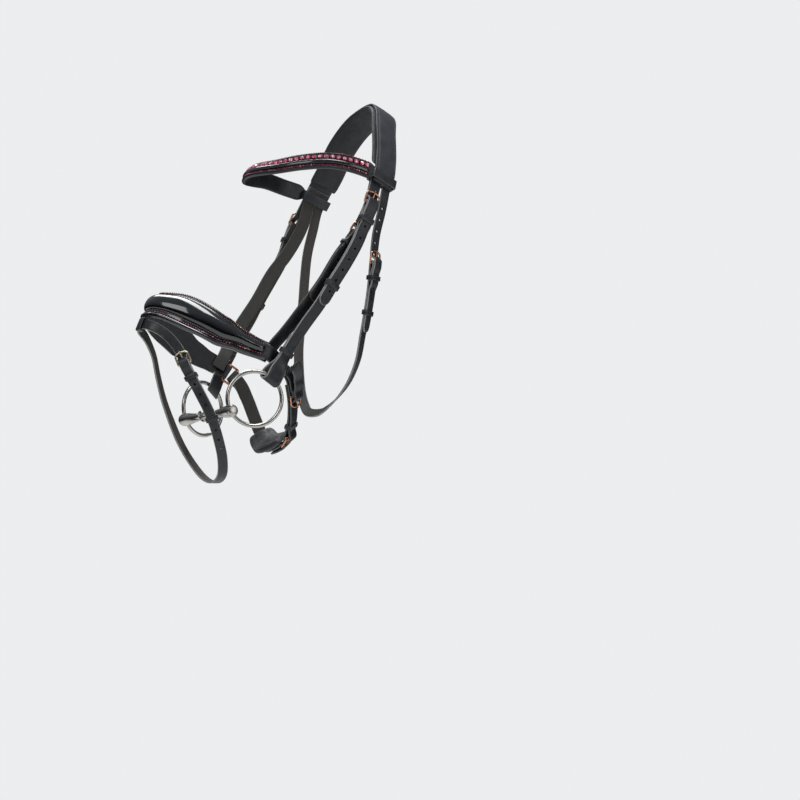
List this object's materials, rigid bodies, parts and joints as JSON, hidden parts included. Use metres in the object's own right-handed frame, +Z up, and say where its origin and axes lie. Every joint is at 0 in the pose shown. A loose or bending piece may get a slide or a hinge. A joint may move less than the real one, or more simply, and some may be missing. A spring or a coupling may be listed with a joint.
{
  "type": "snaffle bridle",
  "caption": "Leather riding bridle: shaped crown, jewelled browband, padded crank noseband with flash strap, throatlatch, and a loose-ring snaffle bit.",
  "frame": {"origin": "middle of the crown strap's underside, where the bridle rests on the horse's poll", "axes": "+Z up, -Y the way the horse faces, +X the horse's left (near) side; the bridle hangs as it does on a horse's head"},
  "size_m": [0.2176, 0.3544, 0.4976],
  "materials": {
    "black_leather": "semi-matt, fine grain",
    "patent_leather": "high gloss",
    "padded_lining": "soft matt",
    "rose_metal": "polished rose-gold plating",
    "bit_steel": "polished stainless steel",
    "rose_crystal": "faceted, foil backed"
  },
  "bodies": {
    "bridle": {"bit_keeper_left": "black_leather", "bit_keeper_right": "black_leather", "browband": "black_leather", "browband_crystal_row": "rose_crystal", "browband_loop_left": "black_leather", "browband_loop_right": "black_leather", "browband_roll": "patent_leather", "cheek_billet_left": "black_leather", "cheek_billet_right": "black_leather", "cheek_buckle_left": "rose_metal", "cheek_buckle_right": "rose_metal", "cheek_keeper_left": "black_leather", "cheek_keeper_right": "black_leather", "cheekpiece_left": "black_leather", "cheekpiece_right": "black_leather", "chin_pad": "padded_lining", "chin_strap": "black_leather", "crank_buckle": "rose_metal", "crank_chape": "black_leather", "crank_keeper": "black_leather", "crank_strap": "black_leather", "crown_padding": "padded_lining", "crown_strap": "black_leather", "flash_buckle": "rose_metal", "flash_keeper": "black_leather", "flash_loop": "black_leather", "flash_strap": "black_leather", "hanger_buckle": "rose_metal", "hanger_keeper": "black_leather", "hook_stud_left": "rose_metal", "hook_stud_right": "rose_metal", "noseband": "patent_leather", "noseband_billet": "black_leather", "noseband_hanger_left": "black_leather", "noseband_hanger_right": "black_leather", "noseband_roll": "patent_leather", "roller_link": "rose_metal", "throat_billet": "black_leather", "throat_buckle": "rose_metal", "throat_keeper": "black_leather", "throat_strap": "black_leather"},
    "cheek_tongue_left": {"cheek_tongue_left": "rose_metal"},
    "cheek_tongue_right": {"cheek_tongue_right": "rose_metal"},
    "throat_tongue": {"throat_tongue": "rose_metal"},
    "hanger_tongue": {"hanger_tongue": "rose_metal"},
    "crank_tongue": {"crank_tongue": "rose_metal"},
    "flash_tongue": {"flash_tongue": "rose_metal"},
    "cheek_runner_left": {"cheek_runner_left": "black_leather"},
    "cheek_runner_right": {"cheek_runner_right": "black_leather"},
    "throat_runner": {"throat_runner": "black_leather"},
    "flash_runner": {"flash_runner": "black_leather"},
    "noseband_ring_left": {"noseband_ring_left": "rose_metal"},
    "noseband_ring_right": {"noseband_ring_right": "rose_metal"},
    "bit_ring_left": {"bit_ring_left": "bit_steel"},
    "bit_ring_right": {"bit_ring_right": "bit_steel"},
    "mouthpiece_arm_left": {"mouthpiece_arm_left": "bit_steel"},
    "mouthpiece_arm_right": {"mouthpiece_arm_right": "bit_steel"},
    "mouthpiece_lozenge": {"mouthpiece_lozenge": "bit_steel"},
    "crank_roller": {"crank_roller": "rose_metal"}
  },
  "joints": [
    {"name": "cheek_tongue_lift_left", "type": "hinge", "parent": "bridle", "child": "cheek_tongue_left", "pos_m": [0.09937, -0.06688, -0.13955], "axis": [-0.0712, 0.9147, -0.3978], "range_deg": [0, 10]},
    {"name": "cheek_tongue_lift_right", "type": "hinge", "parent": "bridle", "child": "cheek_tongue_right", "pos_m": [-0.09937, -0.06688, -0.13955], "axis": [-0.0712, -0.9147, 0.3978], "range_deg": [0, 10]},
    {"name": "throat_tongue_lift", "type": "hinge", "parent": "bridle", "child": "throat_tongue", "pos_m": [0.09264, -0.05729, -0.21237], "axis": [-0.319, 0.9439, -0.0851], "range_deg": [0, 10]},
    {"name": "hanger_tongue_lift", "type": "hinge", "parent": "bridle", "child": "hanger_tongue", "pos_m": [0.09091, -0.0835, -0.17725], "axis": [-0.1415, 0.8142, -0.5631], "range_deg": [0, 6]},
    {"name": "crank_tongue_lift", "type": "hinge", "parent": "bridle", "child": "crank_tongue", "pos_m": [0.06205, -0.15256, -0.37774], "axis": [0.3866, -0.8507, -0.3562], "range_deg": [0, 10]},
    {"name": "flash_tongue_lift", "type": "hinge", "parent": "bridle", "child": "flash_tongue", "pos_m": [0.04247, -0.29369, -0.34602], "axis": [0.5938, 0.7074, 0.3834], "range_deg": [0, 10]},
    {"name": "cheek_runner_slide_left", "type": "slide", "parent": "bridle", "child": "cheek_runner_left", "axis": [-0.0864, -0.5063, -0.858], "range_m": [-0.006, 0.006]},
    {"name": "cheek_runner_slide_right", "type": "slide", "parent": "bridle", "child": "cheek_runner_right", "axis": [0.0864, -0.5063, -0.858], "range_m": [-0.006, 0.006]},
    {"name": "throat_runner_slide", "type": "slide", "parent": "bridle", "child": "throat_runner", "axis": [0.0829, 0.1437, 0.9861], "range_m": [-0.005, 0.005]},
    {"name": "flash_runner_slide", "type": "slide", "parent": "bridle", "child": "flash_runner", "axis": [-0.0199, 0.399, -0.9167], "range_m": [-0.004, 0.004]},
    {"name": "noseband_ring_swing_left", "type": "hinge", "parent": "bridle", "child": "noseband_ring_left", "pos_m": [0.0696, -0.18119, -0.33894], "axis": [0.0235, 0.5656, 0.8243], "range_deg": [-1, 3]},
    {"name": "noseband_ring_swing_right", "type": "hinge", "parent": "bridle", "child": "noseband_ring_right", "pos_m": [-0.0696, -0.18119, -0.33894], "axis": [0.0235, -0.5656, -0.8243], "range_deg": [-1, 3]},
    {"name": "bit_ring_turn_left", "type": "hinge", "parent": "bridle", "child": "bit_ring_left", "pos_m": [0.071, -0.213, -0.387], "axis": [-0.9511, 0.309, 0], "continuous": true},
    {"name": "bit_ring_turn_right", "type": "hinge", "parent": "bridle", "child": "bit_ring_right", "pos_m": [-0.071, -0.213, -0.387], "axis": [-0.9511, -0.309, 0], "continuous": true},
    {"name": "mouthpiece_swing_left", "type": "hinge", "parent": "bridle", "child": "mouthpiece_arm_left", "pos_m": [0.06186, -0.24113, -0.40273], "axis": [0, -0.4513, 0.8924], "range_deg": [-10, 10]},
    {"name": "mouthpiece_swing_right", "type": "hinge", "parent": "bridle", "child": "mouthpiece_arm_right", "pos_m": [-0.06186, -0.24113, -0.40273], "axis": [0, -0.4513, 0.8924], "range_deg": [-10, 10]},
    {"name": "lozenge_pivot", "type": "hinge", "parent": "mouthpiece_arm_left", "child": "mouthpiece_lozenge", "pos_m": [0.011, -0.24113, -0.40273], "axis": [0, -0.4513, 0.8924], "range_deg": [-10, 10]},
    {"name": "crank_roller_turn", "type": "hinge", "parent": "bridle", "child": "crank_roller", "pos_m": [0.03373, -0.14452, -0.42724], "axis": [0.4101, -0.7541, -0.5129], "continuous": true}
  ],
  "couplings": [
    {"joint": "mouthpiece_swing_right", "follows": "mouthpiece_swing_left", "ratio": -1},
    {"joint": "lozenge_pivot", "follows": "mouthpiece_swing_left", "ratio": -1}
  ]
}
